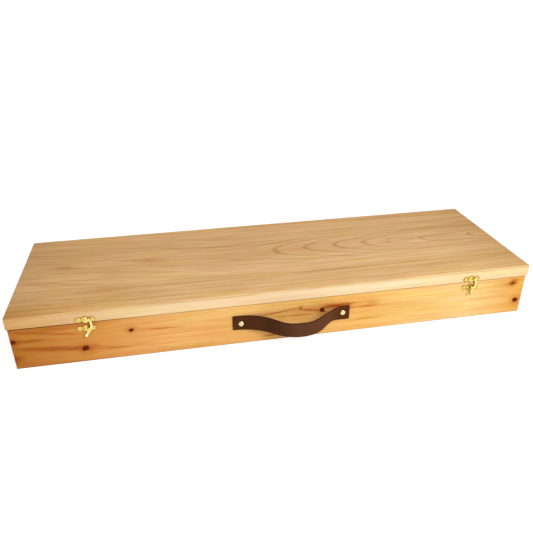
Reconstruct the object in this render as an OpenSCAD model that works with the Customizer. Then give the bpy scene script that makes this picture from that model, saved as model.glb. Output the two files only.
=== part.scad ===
// Presentation box for a felling axe: a rebated pine body on a flush bottom, a mitred lid with a thin
// top panel on two mortised butt hinges, two swing hook clasps and a bowed leather carrying strap.
// X runs along the length, Y from front to back and Z up, from the middle of the underside.

/* [Body] */
// Length of the body, end to end
body_l = 870; // [700:5:1100]
// Depth of the body, front to back
body_d = 270; // [240:5:360]
// Height of the body without the lid
body_h = 74; // [70:1:110]
// Thickness of the four walls
wall_t = 12; // [11:0.5:16]
// Wall thickness that is left outside each rebate
lip_t = 5; // [3:0.5:6]
// Radius of the upright corners
corner_r = 1.2; // [0.5:0.1:2.5]
// Radius of the eased edges
edge_r = 0.6; // [0.3:0.1:1.2]

/* [Bottom] */
// Thickness of the bottom panel
bottom_t = 6; // [4:0.5:9]
// Gap all round the bottom panel in its rebate
bottom_fit = 0.1; // [0:0.05:0.4]
// Number of brads along each long side
long_brads = 7; // [3:1:10]
// Number of brads along each end
end_brads = 3; // [2:1:5]
// Length of a brad
brad_l = 22; // [16:1:30]
// Radius of a brad
brad_r = 0.8; // [0.6:0.1:1]
// Thickness of a brad's head
brad_head_t = 0.8; // [0.5:0.1:1.2]
// Distance from the ends of the body to the first brads of the long sides
long_brad_inset = 30; // [20:1:60]
// Distance from the front and back of the body to the first brads of the ends
end_brad_inset = 60; // [20:1:80]

/* [Lid] */
// Height of the lid's rails
rail_h = 17; // [15:0.5:30]
// Thickness of the lid's rails
rail_t = 12; // [11:0.5:16]
// Thickness of the lid's top panel
top_t = 4; // [3:0.5:8]
// Radius of the top panel's upper edge
top_r = 1.6; // [0.5:0.1:2.5]
// How far the lid reaches past each end of the body
lid_over_end = 1.5; // [0:0.5:4]
// How far the lid reaches past the front of the body
lid_over_front = 2; // [0:0.5:4]
// Open joint between the closed lid and the body
joint_gap = 0.4; // [0.2:0.1:0.8]

/* [Cradles] */
// Thickness of each cradle board
cradle_t = 18; // [12:1:24]
// Height of the cradle boards
cradle_h = 44; // [40:1:55]
// Distance from the left end of the body to the grip cradle
grip_cradle_x = 132; // [80:1:200]
// Distance from the left end of the body to the middle handle cradle
handle_cradle_x = 430; // [300:1:460]
// Distance from the right end of the body to the head cradle
head_cradle_x = 158; // [120:1:200]
// How far the handle lies behind the middle of the box
handle_y = 30; // [10:1:40]
// Thickness of the handle, which lies on its side
handle_t = 22; // [18:1:26]
// Width of the notch for the handle
notch_w = 40; // [34:1:46]
// Depth of the notch for the handle
notch_d = 24; // [18:1:28]
// Radius in the bottom corners of the notches
notch_r = 9; // [5:0.5:12]
// Radius of the rounded rims of the notches
rim_r = 4; // [2:0.5:6]
// Thickness of the axe head at its poll
poll_t = 30; // [24:1:36]
// Thickness of the axe head at its edge, with its guard
bit_t = 6; // [3:1:12]
// Width of the post in front of the head's edge
edge_post_w = 19; // [12:1:28]
// Width of the post behind the head's poll
poll_post_w = 31; // [14:1:36]

/* [Clasps] */
// Distance from the left end of the body to the left clasp
left_clasp_inset = 116; // [60:1:180]
// Distance from the right end of the body to the right clasp
right_clasp_inset = 107; // [60:1:180]
// Width of a clasp plate
plate_w = 29.4; // [26:0.2:34]
// Height of a clasp plate
plate_h = 12; // [10:0.5:13]
// Thickness of a clasp plate
plate_t = 1; // [0.8:0.1:1.2]
// Radius of a plate's end lobes
lobe_r = 4.7; // [4:0.1:5.5]
// Height of the bar that joins a plate's lobes
plate_bar_h = 7; // [5:0.5:9]
// Height of the lid plate's lower edge above the lid's underside, or below it where negative
lid_plate_rise = -0.8; // [-1:0.1:3]
// Drop from the top of the body to the catch plate
catch_drop = 5.3; // [4:0.1:10]
// Distance from the hook's pivot to the screw beside it
pivot_gap = 4; // [3.8:0.1:6]
// Sideways offset of the stud on the catch plate
stud_x = 2.5; // [0:0.5:3]
// Turn of the slots in the plates' screws, from level
plate_slot_turn = 20; // [0:5:90]
// Radius of the hook's pivot
pivot_r = 1.3; // [1:0.1:1.5]
// Radius of the stud's shank
stud_r = 1.6; // [1.2:0.1:2]
// Depth of pivot and stud in the wood
rivet_depth = 7; // [5:0.5:9]
// Radius of the domed heads on pivot and stud
head_r = 2.7; // [2.2:0.1:3]
// Height of the domed heads
head_h = 1.4; // [1:0.1:2]
// Thickness of the hook
hook_t = 1.5; // [1.2:0.1:2]
// Width of the hook's arm
arm_w = 3.2; // [2.6:0.1:3.8]
// Radius of the hook's eye
eye_r = 3.4; // [3:0.1:4]
// Running clearance in front of, behind and around the hook
hook_fit = 0.15; // [0.1:0.05:0.3]
// Lean of the arm's arc at the pivot, from level
hook_lean = 30; // [26:1:36]
// How far round the stud the finger tail leaves the arm, in degrees
tail_turn = 6; // [4:1:20]
// Length of the finger tail
tail_l = 13; // [8:0.5:16]
// Radius of the finger tail's outward curve
tail_curve_r = 15; // [15:1:30]

/* [Hinges] */
// Distance from each end of the body to its hinge
hinge_inset = 130; // [80:1:220]
// Length of a hinge leaf
leaf_l = 50; // [40:1:76]
// Width of a leaf that is let into the wood
leaf_w = 8.8; // [8:0.1:10]
// Thickness of a hinge leaf
leaf_t = 1.2; // [1:0.1:1.4]
// Outer radius of a knuckle
knuckle_r = 2.75; // [2.4:0.05:3.2]
// Number of knuckles in a hinge
knuckles = 5; // [3:2:7]
// Gap between two knuckles
knuckle_gap = 0.3; // [0.2:0.1:0.5]
// Gap between the knuckles and the back of the box
barrel_gap = 0.4; // [0.3:0.1:1]
// Radius of the hinge pin
pin_r = 1.25; // [1:0.05:1.4]
// Radial clearance of the pin in the knuckles
pin_fit = 0.05; // [0.02:0.01:0.1]
// How far the pin stands out of the outer knuckles
pin_proud = 0.5; // [0:0.1:1.5]
// Number of screws in each leaf
leaf_screws = 3; // [2:1:4]
// Distance from a leaf's ends to its outer screws
leaf_screw_inset = 8; // [6:0.5:12]

/* [Screws] */
// Radius of a small screw's shank
screw_r = 1.1; // [0.8:0.1:1.3]
// Radius of a small screw's countersunk head
screw_head_r = 2; // [1.8:0.1:2.2]
// Length of a small screw
screw_l = 9; // [7:0.5:10]
// Width of the slot in a screw head
slot_w = 0.5; // [0.4:0.1:0.7]

/* [Strap] */
// Sideways offset of the strap's left fixing from the middle of the body
left_fixing_x = -76.5; // [-90:0.5:-70]
// Distance between the strap's two fixings
fixing_spacing = 174; // [170:1:190]
// Height of the strap's middle above the underside
strap_z = 40.7; // [34:0.1:45]
// Width of the strap
strap_w = 26; // [20:1:36]
// Thickness of the leather
strap_t = 3; // [2:0.5:4]
// Length of leather outside the left fixing
left_end_l = 13.8; // [11:0.2:18]
// Length of leather outside the right fixing
right_end_l = 12.2; // [9:0.2:18]
// Length of leather that lies flat at the left end
left_flat_l = 4.8; // [3:0.2:8]
// How far the bow stands off the wall
bow_depth = 39; // [36:0.5:41]
// Steepness of the bow's long left flank
left_slope = 38; // [36:1:40]
// Steepness of the bow's short right flank
right_slope = 46; // [44:1:50]
// Bend radius where the left flank leaves the wall
left_foot_r = 95; // [85:1:100]
// Bend radius left of the crest
left_crest_r = 62; // [55:1:65]
// Bend radius right of the crest
right_crest_r = 54; // [45:1:58]
// Bend radius where the right flank comes back to the wall
right_foot_r = 26; // [18:1:30]
// Corner radius of the strap's ends
strap_corner_r = 1.5; // [0.5:0.5:4]
// Radius of the strap screw's shank
bolt_r = 2; // [1.5:0.1:2.5]
// Radius of the strap screw's head
bolt_head_r = 3.1; // [2.8:0.1:3.6]
// Outer radius of the cup washer
cup_r = 4.7; // [4.4:0.1:6]
// Height of the cup washer
cup_h = 1.7; // [1.4:0.1:2.2]
// Thickness of the cup washer under the screw's head
cup_seat_h = 0.5; // [0.3:0.1:1]
// Width of the cup washer's flat rim
cup_rim_w = 0.3; // [0.1:0.1:1]
// Radial clearance of the screw's head in the cup
cup_fit = 0.1; // [0.05:0.05:0.3]
// Height of the strap screw's crown above the cup
crown_h = 0.9; // [0.5:0.1:1.5]
// Depth of the strap screw's slot
bolt_slot_depth = 0.8; // [0.5:0.1:1.2]
// Radius of the washer inside the wall
washer_r = 6; // [5:0.5:8]
// Thickness of the washer inside the wall
washer_t = 1; // [0.8:0.1:1.5]
// Width of the nut across its flats
nut_flats = 7; // [6.5:0.5:8]
// Thickness of the nut
nut_t = 3; // [2.4:0.1:4]

/* [Hidden] */
$fn = 48;

pine = "#dc9a52";
pale_wood = "#efd6a6";
top_wood = "#cf9f68";
plywood = "#d8b98a";
brass = "#dcb544";
steel = "#a3a6a8";
leather = "#5a3424";

// Cuts run this far past the faces that they open
cut = 1;
left_x = -body_l / 2;
right_x = body_l / 2;
front_y = -body_d / 2;
back_y = body_d / 2;
inner_d = body_d - 2 * wall_t;

lid_z = body_h + joint_gap;
top_z = lid_z + rail_h;
lid_left_x = left_x - lid_over_end;
lid_right_x = right_x + lid_over_end;
lid_front_y = front_y - lid_over_front;

clasp_xs = [left_x + left_clasp_inset, right_x - right_clasp_inset];
plate_screw_x = plate_w / 2 - lobe_r;
pivot_x = plate_screw_x - pivot_gap;
lid_plate_z = lid_z + lid_plate_rise + plate_h / 2;
catch_plate_z = body_h - catch_drop - plate_h / 2;
hook_back_y = lid_front_y - plate_t - hook_fit;
hook_front_y = hook_back_y - hook_t;

hinge_xs = [left_x + hinge_inset, right_x - hinge_inset];
barrel_y = back_y + barrel_gap + knuckle_r;
barrel_z = body_h + joint_gap / 2;
knuckle_l = leaf_l / knuckles;

fixing_xs = [left_fixing_x, left_fixing_x + fixing_spacing];
strap_low_z = strap_z - strap_w / 2;

// Points along an arc about a centre, from one angle to another
function arc(centre, radius, from, to, steps = 5) =
    [for (k = [0:steps]) let (a = from + (to - from) * k / steps) centre + radius * [cos(a), sin(a)]];

// Rectangle whose lower corners have one radius and whose upper corners have another
function eased_rect(low, high, low_r, high_r) = concat(
    arc([low.x + low_r, low.y + low_r], low_r, 180, 270, 4),
    arc([high.x - low_r, low.y + low_r], low_r, 270, 360, 4),
    arc([high.x - high_r, high.y - high_r], high_r, 0, 90, 4),
    arc([low.x + high_r, high.y - high_r], high_r, 90, 180, 4));

// A number of places at equal steps from one end of a line to the other
function spaced(count, from, to) = [for (k = [0:count - 1]) from + (to - from) * k / (count - 1)];

module block(low, high) {
    translate(low) cube(high - low);
}

// Block with eased edges: its plan, front and side outlines cross
module eased_block(low, high, plan_r, low_r, high_r) {
    intersection() {
        translate([0, 0, low.z])
            linear_extrude(high.z - low.z)
                polygon(eased_rect([low.x, low.y], [high.x, high.y], plan_r, plan_r));
        translate([0, high.y, 0])
            rotate([90, 0, 0])
                linear_extrude(high.y - low.y)
                    polygon(eased_rect([low.x, low.z], [high.x, high.z], low_r, high_r));
        translate([low.x, 0, 0])
            rotate([90, 0, 90])
                linear_extrude(high.x - low.x)
                    polygon(eased_rect([low.y, low.z], [high.y, high.z], low_r, high_r));
    }
}

// Turns a drawing in X and Z to stand in the plane at y, with its thickness towards the front
module facing_front(y) {
    translate([0, y, 0]) rotate([90, 0, 0]) children();
}

// Solid of revolution with a domed head above z = 0 and a shank below it
module domed_pin(radius, height, shank_r, shank_l) {
    rotate_extrude()
        polygon(concat(
            [[0, -shank_l], [shank_r, -shank_l], [shank_r, 0]],
            [for (a = [0:15:90]) [radius * cos(a), height * sin(a)]]));
}

// Side of a countersunk screw whose head ends at z = 0
screw_side = [
    [0, -screw_l], [screw_r, -screw_l], [screw_r, screw_r - screw_head_r], [screw_head_r, 0]
];

// The hole that a screw needs, open above the face that its head lies in
module screw_hole() {
    rotate_extrude() polygon(concat(screw_side, [[screw_head_r, cut], [0, cut]]));
}

module screw() {
    difference() {
        rotate_extrude() polygon(concat(screw_side, [[0, 0]]));
        cube([4 * screw_head_r, slot_w, 2 * slot_w], center = true);
    }
}

// Body

module body_envelope() {
    eased_block([left_x, front_y, 0], [right_x, back_y, body_h], corner_r, edge_r, edge_r);
}

// Rebate for the bottom panel, all round the underside
module bottom_seat() {
    block([left_x + lip_t, front_y + lip_t, -cut], [right_x - lip_t, back_y - lip_t, bottom_t]);
}

// Long wall in the front position, with a rebate for the end wall at each end
module long_wall() {
    difference() {
        intersection() {
            body_envelope();
            block([left_x, front_y, 0], [right_x, front_y + wall_t, body_h]);
        }
        for (side = [-1, 1])
            translate([side * right_x, front_y + lip_t + wall_t / 2, body_h / 2])
                cube([2 * wall_t, wall_t, body_h + 2 * cut], center = true);
        bottom_seat();
        brads();
    }
}

// End wall in the left position, between the lips of the long walls
module end_wall() {
    difference() {
        intersection() {
            body_envelope();
            block([left_x, front_y + lip_t, 0], [left_x + wall_t, back_y - lip_t, body_h]);
        }
        bottom_seat();
        brads();
    }
}

module front_wall() color(pine) {
    difference() {
        long_wall();
        screws_at_plates(front_y, catch_plate_z);
        for (x = clasp_xs)
            translate([x + stud_x, 0, catch_plate_z]) facing_front(front_y) stud_shape();
        at_fixings(front_y) cylinder(r = bolt_r, h = 4 * wall_t, center = true);
    }
}

module back_wall() color(pine) {
    difference() {
        mirror([0, 1, 0]) long_wall();
        leaf_seats(body_h - leaf_t, body_h + cut);
        at_leaf_screws(body_h) screw_hole();
    }
}

module left_end_wall() color(pine) end_wall();

module right_end_wall() color(pine) mirror([1, 0, 0]) end_wall();

module bottom_panel() color(plywood) {
    inset = lip_t + bottom_fit;
    difference() {
        block([left_x + inset, front_y + inset, 0], [right_x - inset, back_y - inset, bottom_t]);
        brads();
    }
}

// One brad, driven up from the underside with its head let in flush
module brad() {
    cylinder(r = 2 * brad_r, h = brad_head_t);
    cylinder(r = brad_r, h = brad_l);
}

// Brads run through the middle of the ledge in every wall
module brads() {
    ledge = lip_t + (wall_t - lip_t) / 2;
    for (x = spaced(long_brads, left_x + long_brad_inset, right_x - long_brad_inset), side = [-1, 1])
        translate([x, side * (back_y - ledge), 0]) brad();
    for (y = spaced(end_brads, front_y + end_brad_inset, back_y - end_brad_inset), side = [-1, 1])
        translate([side * (right_x - ledge), y, 0]) brad();
}

module bottom_brads() color(steel) brads();

// Cradles for the axe

// Parts of a cradle's outline behind and in front of its notch, each with a rounded rim at the given place
function cradle_back(rim_y) = concat(
    [[inner_d / 2, 0]],
    arc([inner_d / 2 - rim_r, cradle_h - rim_r], rim_r, 0, 90),
    arc([rim_y + rim_r, cradle_h - rim_r], rim_r, 90, 180));
function cradle_front(rim_y) = concat(
    arc([rim_y - rim_r, cradle_h - rim_r], rim_r, 0, 90),
    arc([-inner_d / 2 + rim_r, cradle_h - rim_r], rim_r, 90, 180),
    [[-inner_d / 2, 0]]);

module cradle(x, outline) {
    translate([x - cradle_t / 2, 0, bottom_t])
        rotate([90, 0, 90])
            linear_extrude(cradle_t) polygon(outline);
}

// Round-bottomed notch that holds the handle on its side
function handle_outline() = concat(
    cradle_back(handle_y + notch_w / 2),
    arc([handle_y + notch_w / 2 - notch_r, cradle_h - notch_d + notch_r], notch_r, 0, -90),
    arc([handle_y - notch_w / 2 + notch_r, cradle_h - notch_d + notch_r], notch_r, -90, -180),
    cradle_front(handle_y - notch_w / 2));

// Wedge-shaped bed for the head: level under the poll and eye, rising towards the edge
head_axis_h = cradle_h - notch_d + handle_t / 2;
poll_end = inner_d / 2 - poll_post_w;
edge_end = -inner_d / 2 + edge_post_w;
function head_outline() = concat(
    cradle_back(poll_end),
    [
        [poll_end, head_axis_h - poll_t / 2],
        [handle_y - handle_t, head_axis_h - poll_t / 2],
        [edge_end, head_axis_h - bit_t / 2]
    ],
    cradle_front(edge_end));

module grip_cradle() color(pine) cradle(left_x + grip_cradle_x, handle_outline());

module handle_cradle() color(pine) cradle(left_x + handle_cradle_x, handle_outline());

module head_cradle() color(pine) cradle(right_x - head_cradle_x, head_outline());

// Lid

module lid_envelope() {
    eased_block(
        [lid_left_x, lid_front_y, lid_z], [lid_right_x, back_y, top_z + top_t], corner_r, edge_r, top_r);
}

// Part of the lid's frame that stands over a mitred plan
module lid_rail(plan) {
    intersection() {
        lid_envelope();
        translate([0, 0, lid_z]) linear_extrude(rail_h) polygon(plan);
    }
}

lid_outer = [
    [lid_left_x, lid_front_y], [lid_right_x, lid_front_y],
    [lid_right_x, back_y], [lid_left_x, back_y]
];
lid_inner = [
    [lid_left_x + rail_t, lid_front_y + rail_t], [lid_right_x - rail_t, lid_front_y + rail_t],
    [lid_right_x - rail_t, back_y - rail_t], [lid_left_x + rail_t, back_y - rail_t]
];

// Plan of one rail, mitred at both ends; side 0 is the front, then right, back and left
function rail_plan(side) =
    let (next = (side + 1) % 4) [lid_outer[side], lid_outer[next], lid_inner[next], lid_inner[side]];

module lid_top_panel() color(top_wood) {
    intersection() {
        lid_envelope();
        block([lid_left_x, lid_front_y, top_z], [lid_right_x, back_y, top_z + top_t]);
    }
}

module lid_front_rail() color(pale_wood) {
    difference() {
        lid_rail(rail_plan(0));
        screws_at_plates(lid_front_y, lid_plate_z);
        for (x = clasp_xs)
            translate([x + pivot_x, 0, lid_plate_z]) facing_front(hook_front_y - hook_fit) pivot_shape();
    }
}

module lid_back_rail() color(pale_wood) {
    difference() {
        lid_rail(rail_plan(2));
        leaf_seats(lid_z - cut, lid_z + leaf_t);
        at_leaf_screws(lid_z) mirror([0, 0, 1]) screw_hole();
    }
}

module lid_left_rail() color(pale_wood) lid_rail(rail_plan(3));

module lid_right_rail() color(pale_wood) lid_rail(rail_plan(1));

// Clasps

// Places children at the screws of both clasps' plates, facing the front
module screws_at_plates(y, z) {
    for (x = clasp_xs, side = [-1, 1])
        translate([x + side * plate_screw_x, 0, z]) facing_front(y - plate_t) screw_hole();
}

module plate_outline() {
    circle(r = plate_h / 2);
    square([2 * plate_screw_x, plate_bar_h], center = true);
    for (side = [-1, 1])
        translate([side * plate_screw_x, 0]) circle(r = lobe_r);
}

// Lobed plate on the face at y, with two countersunk holes and the hole of its pivot or stud
module clasp_plate_shape(x, y, z, hole_x, hole_r) {
    difference() {
        translate([x, 0, z]) facing_front(y) linear_extrude(plate_t) plate_outline();
        screws_at_plates(y, z);
        translate([x + hole_x, y, z]) rotate([90, 0, 0]) cylinder(r = hole_r, h = 4 * plate_t, center = true);
    }
}

module plate_on_lid(x) color(brass) {
    clasp_plate_shape(x, lid_front_y, lid_plate_z, pivot_x, pivot_r);
}

module plate_on_body(x) color(brass) {
    clasp_plate_shape(x, front_y, catch_plate_z, stud_x, stud_r);
}

module left_clasp_plate() plate_on_lid(clasp_xs[0]);

module right_clasp_plate() plate_on_lid(clasp_xs[1]);

module left_catch_plate() plate_on_body(clasp_xs[0]);

module right_catch_plate() plate_on_body(clasp_xs[1]);

// The stud's place as seen from the pivot, in the plane of the hook
stud_at = [stud_x - pivot_x, catch_plate_z - lid_plate_z];
// Distance from the stud's middle to the middle of the arm beside and beneath it
arm_offset = arm_w / 2 + stud_r + hook_fit;
// The arm is an arc through the pivot that touches a circle of that radius about the stud
arm_r = (stud_at * stud_at - arm_offset * arm_offset)
    / (-2 * (stud_at * [cos(hook_lean), sin(hook_lean)] + arm_offset));
arm_centre = -arm_r * [cos(hook_lean), sin(hook_lean)];
stud_angle = atan2(stud_at.y - arm_centre.y, stud_at.x - arm_centre.x);
// It follows that circle to the side that faces away from the pivot, so that it swings clear
jaw_angle = atan2(stud_at.y, stud_at.x);
jaw_step = (jaw_angle - stud_angle) / 8;
tail_from = stud_angle - tail_turn;

// Arm from the eye round the right of the stud, ending in the jaw beneath it
module arm_outline() {
    polygon(concat(
        arc(arm_centre, arm_r + arm_w / 2, hook_lean, stud_angle, 14),
        arc(stud_at, arm_offset + arm_w / 2, stud_angle + jaw_step, jaw_angle, 7),
        arc(stud_at, arm_offset - arm_w / 2, jaw_angle, stud_angle + jaw_step, 7),
        arc(arm_centre, arm_r - arm_w / 2, stud_angle, hook_lean, 14)));
    translate(stud_at + arm_offset * [cos(jaw_angle), sin(jaw_angle)]) circle(r = arm_w / 2);
    circle(r = eye_r);
}

// Finger tail along X with a rounded tip: a strip that curves out towards the front
module tail_shape() {
    turn = tail_l / tail_curve_r * 180 / PI;
    tip_x = tail_curve_r * sin(turn) - arm_w / 2;
    intersection() {
        rotate([90, 0, 0])
            translate([0, 0, -arm_w / 2])
                linear_extrude(arm_w)
                    polygon(concat(
                        arc([0, tail_curve_r], tail_curve_r, -90, turn - 90, 8),
                        arc([0, tail_curve_r], tail_curve_r - hook_t, turn - 90, -90, 8)));
        translate([0, 0, -cut])
            linear_extrude(tail_l + cut)
                polygon(concat([[0, arm_w], [0, -arm_w]], arc([tip_x, 0], arm_w / 2, -90, 90, 10)));
    }
}

module hook_shape() {
    tail_start = stud_at + arm_offset * [cos(tail_from), sin(tail_from)];
    difference() {
        union() {
            linear_extrude(hook_t) arm_outline();
            translate(tail_start) rotate([0, 0, tail_from - 90]) tail_shape();
        }
        cylinder(r = pivot_r + pin_fit, h = 4 * hook_t, center = true);
    }
}

module hook_at(x) color(brass) {
    translate([x + pivot_x, 0, lid_plate_z]) facing_front(hook_back_y) hook_shape();
}

module left_hook() hook_at(clasp_xs[0]);

module right_hook() hook_at(clasp_xs[1]);

// Rivet through the hook's eye and the lid plate, from the plane just in front of the hook
module pivot_shape() {
    domed_pin(head_r, head_h, pivot_r, rivet_depth + front_y - hook_front_y);
}

// Headed stud that stands out of the catch plate as far as the hook's front
module stud_shape() {
    stand = front_y - hook_front_y + hook_fit;
    translate([0, 0, stand]) domed_pin(head_r, head_h, stud_r, stand + rivet_depth);
}

module pivot_at(x) color(brass) {
    translate([x + pivot_x, 0, lid_plate_z]) facing_front(hook_front_y - hook_fit) pivot_shape();
}

module stud_on_plate(x) color(brass) {
    translate([x + stud_x, 0, catch_plate_z]) facing_front(front_y) stud_shape();
}

module left_pivot_rivet() pivot_at(clasp_xs[0]);

module right_pivot_rivet() pivot_at(clasp_xs[1]);

module left_catch_stud() stud_on_plate(clasp_xs[0]);

module right_catch_stud() stud_on_plate(clasp_xs[1]);

module plate_screws(y, z) color(brass) {
    for (x = clasp_xs, side = [-1, 1])
        translate([x + side * plate_screw_x, 0, z])
            facing_front(y - plate_t)
                rotate([0, 0, side * plate_slot_turn]) screw();
}

module clasp_plate_screws() plate_screws(lid_front_y, lid_plate_z);

module catch_plate_screws() plate_screws(front_y, catch_plate_z);

// Hinges

// Leaf between two heights, with every second knuckle from the first one given
module leaf_shape(x, low_z, first_knuckle) {
    difference() {
        union() {
            block(
                [x - leaf_l / 2, back_y - leaf_w, low_z],
                [x + leaf_l / 2, back_y + barrel_gap / 2, low_z + leaf_t]);
            for (k = [first_knuckle:2:knuckles - 1])
                knuckle(x - leaf_l / 2 + k * knuckle_l, low_z);
        }
        translate([x, barrel_y, barrel_z])
            rotate([0, 90, 0])
                cylinder(r = pin_r + pin_fit, h = 2 * leaf_l, center = true);
    }
}

// Knuckle with the tongue that joins it to its leaf
module knuckle(x, low_z) {
    length = knuckle_l - knuckle_gap;
    translate([x + knuckle_gap / 2, barrel_y, barrel_z])
        rotate([0, 90, 0])
            cylinder(r = knuckle_r, h = length);
    block([x + knuckle_gap / 2, back_y, low_z], [x + knuckle_gap / 2 + length, barrel_y, low_z + leaf_t]);
}

// What both hinges' leaves need cut away between two heights
module leaf_seats(low_z, high_z) {
    for (x = hinge_xs)
        block([x - leaf_l / 2, back_y - leaf_w, low_z], [x + leaf_l / 2, back_y + cut, high_z]);
}

module at_leaf_screws(z) {
    outer_dx = leaf_l / 2 - leaf_screw_inset;
    for (x = hinge_xs, dx = spaced(leaf_screws, -outer_dx, outer_dx))
        translate([x + dx, back_y - leaf_w / 2, z]) children();
}

module body_leaf(x) color(brass) {
    difference() {
        leaf_shape(x, body_h - leaf_t, 0);
        at_leaf_screws(body_h) screw_hole();
    }
}

module lid_leaf(x) color(brass) {
    difference() {
        leaf_shape(x, lid_z, 1);
        at_leaf_screws(lid_z) mirror([0, 0, 1]) screw_hole();
    }
}

module left_hinge_body_leaf() body_leaf(hinge_xs[0]);

module right_hinge_body_leaf() body_leaf(hinge_xs[1]);

module left_hinge_lid_leaf() lid_leaf(hinge_xs[0]);

module right_hinge_lid_leaf() lid_leaf(hinge_xs[1]);

// Pin with its ends just proud of the outer knuckles
module hinge_pin(x) color(brass) {
    translate([x, barrel_y, barrel_z])
        rotate([0, 90, 0])
            cylinder(r = pin_r, h = leaf_l + 2 * pin_proud, center = true);
}

module left_hinge_pin() hinge_pin(hinge_xs[0]);

module right_hinge_pin() hinge_pin(hinge_xs[1]);

module hinge_body_screws() color(brass) at_leaf_screws(body_h) screw();

module hinge_lid_screws() color(brass) at_leaf_screws(lid_z) mirror([0, 0, 1]) screw();

// Strap

// Point and heading after an arc; a positive turn goes to the left, as seen from above
function after_arc(p, radius, turn) =
    let (s = sign(turn))
    [p.x + s * radius * (sin(p.z + turn) - sin(p.z)),
     p.y - s * radius * (cos(p.z + turn) - cos(p.z)),
     p.z + turn];
function after_line(p, length) = [p.x + length * cos(p.z), p.y + length * sin(p.z), p.z];
function bend(p, radius, turn, steps = 8) = [for (k = [1:steps]) after_arc(p, radius, turn * k / steps)];

// Straight length that a flank needs between its two bends to reach the bow's depth
function flank_l(slope, radii) = (bow_depth - radii * (1 - cos(slope))) / sin(slope);

strap_start = [left_fixing_x - left_end_l, front_y - strap_t / 2, 0];
left_foot = after_line(strap_start, left_flat_l);
left_flank = bend(left_foot, left_foot_r, -left_slope);
left_rise = after_line(left_flank[len(left_flank) - 1], flank_l(left_slope, left_foot_r + left_crest_r));
left_crest = bend(left_rise, left_crest_r, left_slope);
right_crest = bend(left_crest[len(left_crest) - 1], right_crest_r, right_slope);
right_fall = after_line(
    right_crest[len(right_crest) - 1], flank_l(right_slope, right_crest_r + right_foot_r));
right_flank = bend(right_fall, right_foot_r, -right_slope);
right_foot = right_flank[len(right_flank) - 1];
strap_end = after_line(right_foot, fixing_xs[1] + right_end_l - right_foot.x);
strap_path = concat(
    [strap_start, left_foot], left_flank, [left_rise], left_crest,
    right_crest, [right_fall], right_flank, [strap_end]);

// The path moved sideways by half the leather's thickness, to the given side
function strap_face(side) =
    [for (p = strap_path) [p.x, p.y] + side * strap_t / 2 * [-sin(p.z), cos(p.z)]];

module strap_outline() {
    back_to_front = [for (k = [len(strap_path) - 1:-1:0]) strap_face(1)[k]];
    polygon(concat(strap_face(-1), back_to_front));
}

// Places children at the two fixings, on the plane at y and facing the front
module at_fixings(y) {
    for (x = fixing_xs)
        translate([x, 0, strap_z]) facing_front(y) children();
}

module handle_strap() color(leather) {
    difference() {
        intersection() {
            translate([0, 0, strap_low_z]) linear_extrude(strap_w) strap_outline();
            facing_front(back_y)
                linear_extrude(2 * body_d)
                    polygon(eased_rect(
                        [strap_start.x, strap_low_z], [strap_end.x, strap_low_z + strap_w],
                        strap_corner_r, strap_corner_r));
        }
        at_fixings(front_y) cylinder(r = bolt_r, h = 4 * strap_t, center = true);
        at_fixings(front_y - strap_t) cylinder(r = cup_r + hook_fit, h = 2 * cup_h);
    }
}

// Cup washer on the leather, with a cone inside that takes the screw's head
module strap_cup_washers() color(brass) {
    mouth_r = bolt_head_r + cup_fit;
    shoulder_r = mouth_r + cup_rim_w;
    at_fixings(front_y - strap_t)
        rotate_extrude()
            polygon(concat(
                [[bolt_r, 0]],
                [for (a = [0:22.5:90]) [shoulder_r + (cup_r - shoulder_r) * cos(a), cup_h * sin(a)]],
                [[mouth_r, cup_h], [bolt_r, cup_seat_h]]));
}

// Oval slotted head in the cup, and a shank that reaches through to the nut
module strap_screws() color(brass) {
    bolt_l = strap_t + wall_t + washer_t + nut_t;
    at_fixings(front_y - strap_t)
        difference() {
            rotate_extrude()
                polygon(concat(
                    [[0, -bolt_l], [bolt_r, -bolt_l], [bolt_r, cup_seat_h]],
                    [for (a = [0:18:90]) [bolt_head_r * cos(a), cup_h + crown_h * sin(a)]]));
            translate([0, 0, cup_h + crown_h])
                cube([3 * bolt_head_r, 2 * slot_w, 2 * bolt_slot_depth], center = true);
        }
}

module strap_backing_washers() color(steel) {
    at_fixings(front_y + wall_t + washer_t)
        difference() {
            cylinder(r = washer_r, h = washer_t);
            cylinder(r = bolt_r, h = 4 * washer_t, center = true);
        }
}

module strap_nuts() color(steel) {
    at_fixings(front_y + wall_t + washer_t + nut_t)
        difference() {
            cylinder(r = nut_flats / 2 / cos(30), h = nut_t, $fn = 6);
            cylinder(r = bolt_r, h = 4 * nut_t, center = true);
        }
}

front_wall();
back_wall();
left_end_wall();
right_end_wall();
bottom_panel();
bottom_brads();
grip_cradle();
handle_cradle();
head_cradle();
lid_top_panel();
lid_front_rail();
lid_back_rail();
lid_left_rail();
lid_right_rail();
left_clasp_plate();
right_clasp_plate();
left_hook();
right_hook();
left_pivot_rivet();
right_pivot_rivet();
left_catch_plate();
right_catch_plate();
left_catch_stud();
right_catch_stud();
clasp_plate_screws();
catch_plate_screws();
left_hinge_body_leaf();
right_hinge_body_leaf();
left_hinge_lid_leaf();
right_hinge_lid_leaf();
left_hinge_pin();
right_hinge_pin();
hinge_body_screws();
hinge_lid_screws();
handle_strap();
strap_cup_washers();
strap_screws();
strap_backing_washers();
strap_nuts();
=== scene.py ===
"""Looks of the axe presentation box: knotty pine body, pale lid rails under a broad figured top board,
brass swing hooks and butt hinges, and a bowed strap of thick brown leather. Metres, in the CAD's frame."""
import math
from collections import namedtuple

import bpy
import numpy as np
from mathutils import Matrix, Vector


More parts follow.
